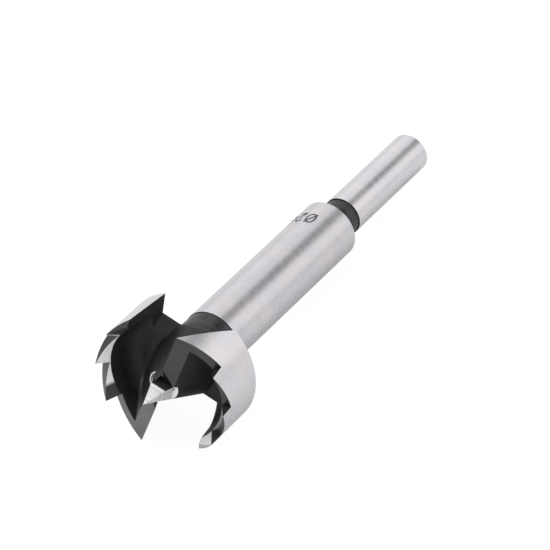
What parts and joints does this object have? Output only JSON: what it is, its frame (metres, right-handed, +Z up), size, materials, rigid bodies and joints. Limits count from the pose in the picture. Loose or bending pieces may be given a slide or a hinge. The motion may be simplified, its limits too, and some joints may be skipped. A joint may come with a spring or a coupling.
{
  "type": "forstner bit",
  "caption": "Saw-tooth forstner bit for boring flat-bottomed holes in wood: toothed rim, paired cutters, centre point and a plain round shank.",
  "frame": {"origin": "centre of the resting bit's outline, on the surface it lies on", "axes": "+Z up; the shank end towards +Y and the cutting end towards -Y, the axis raised at the head by the pose; X across"},
  "size_m": [0.028, 0.0972, 0.0271],
  "materials": {
    "tool_steel": "satin ground, with black oxide left on the unground surfaces"
  },
  "bodies": {
    "root": {"forstner_bit": "tool_steel"}
  },
  "joints": []
}
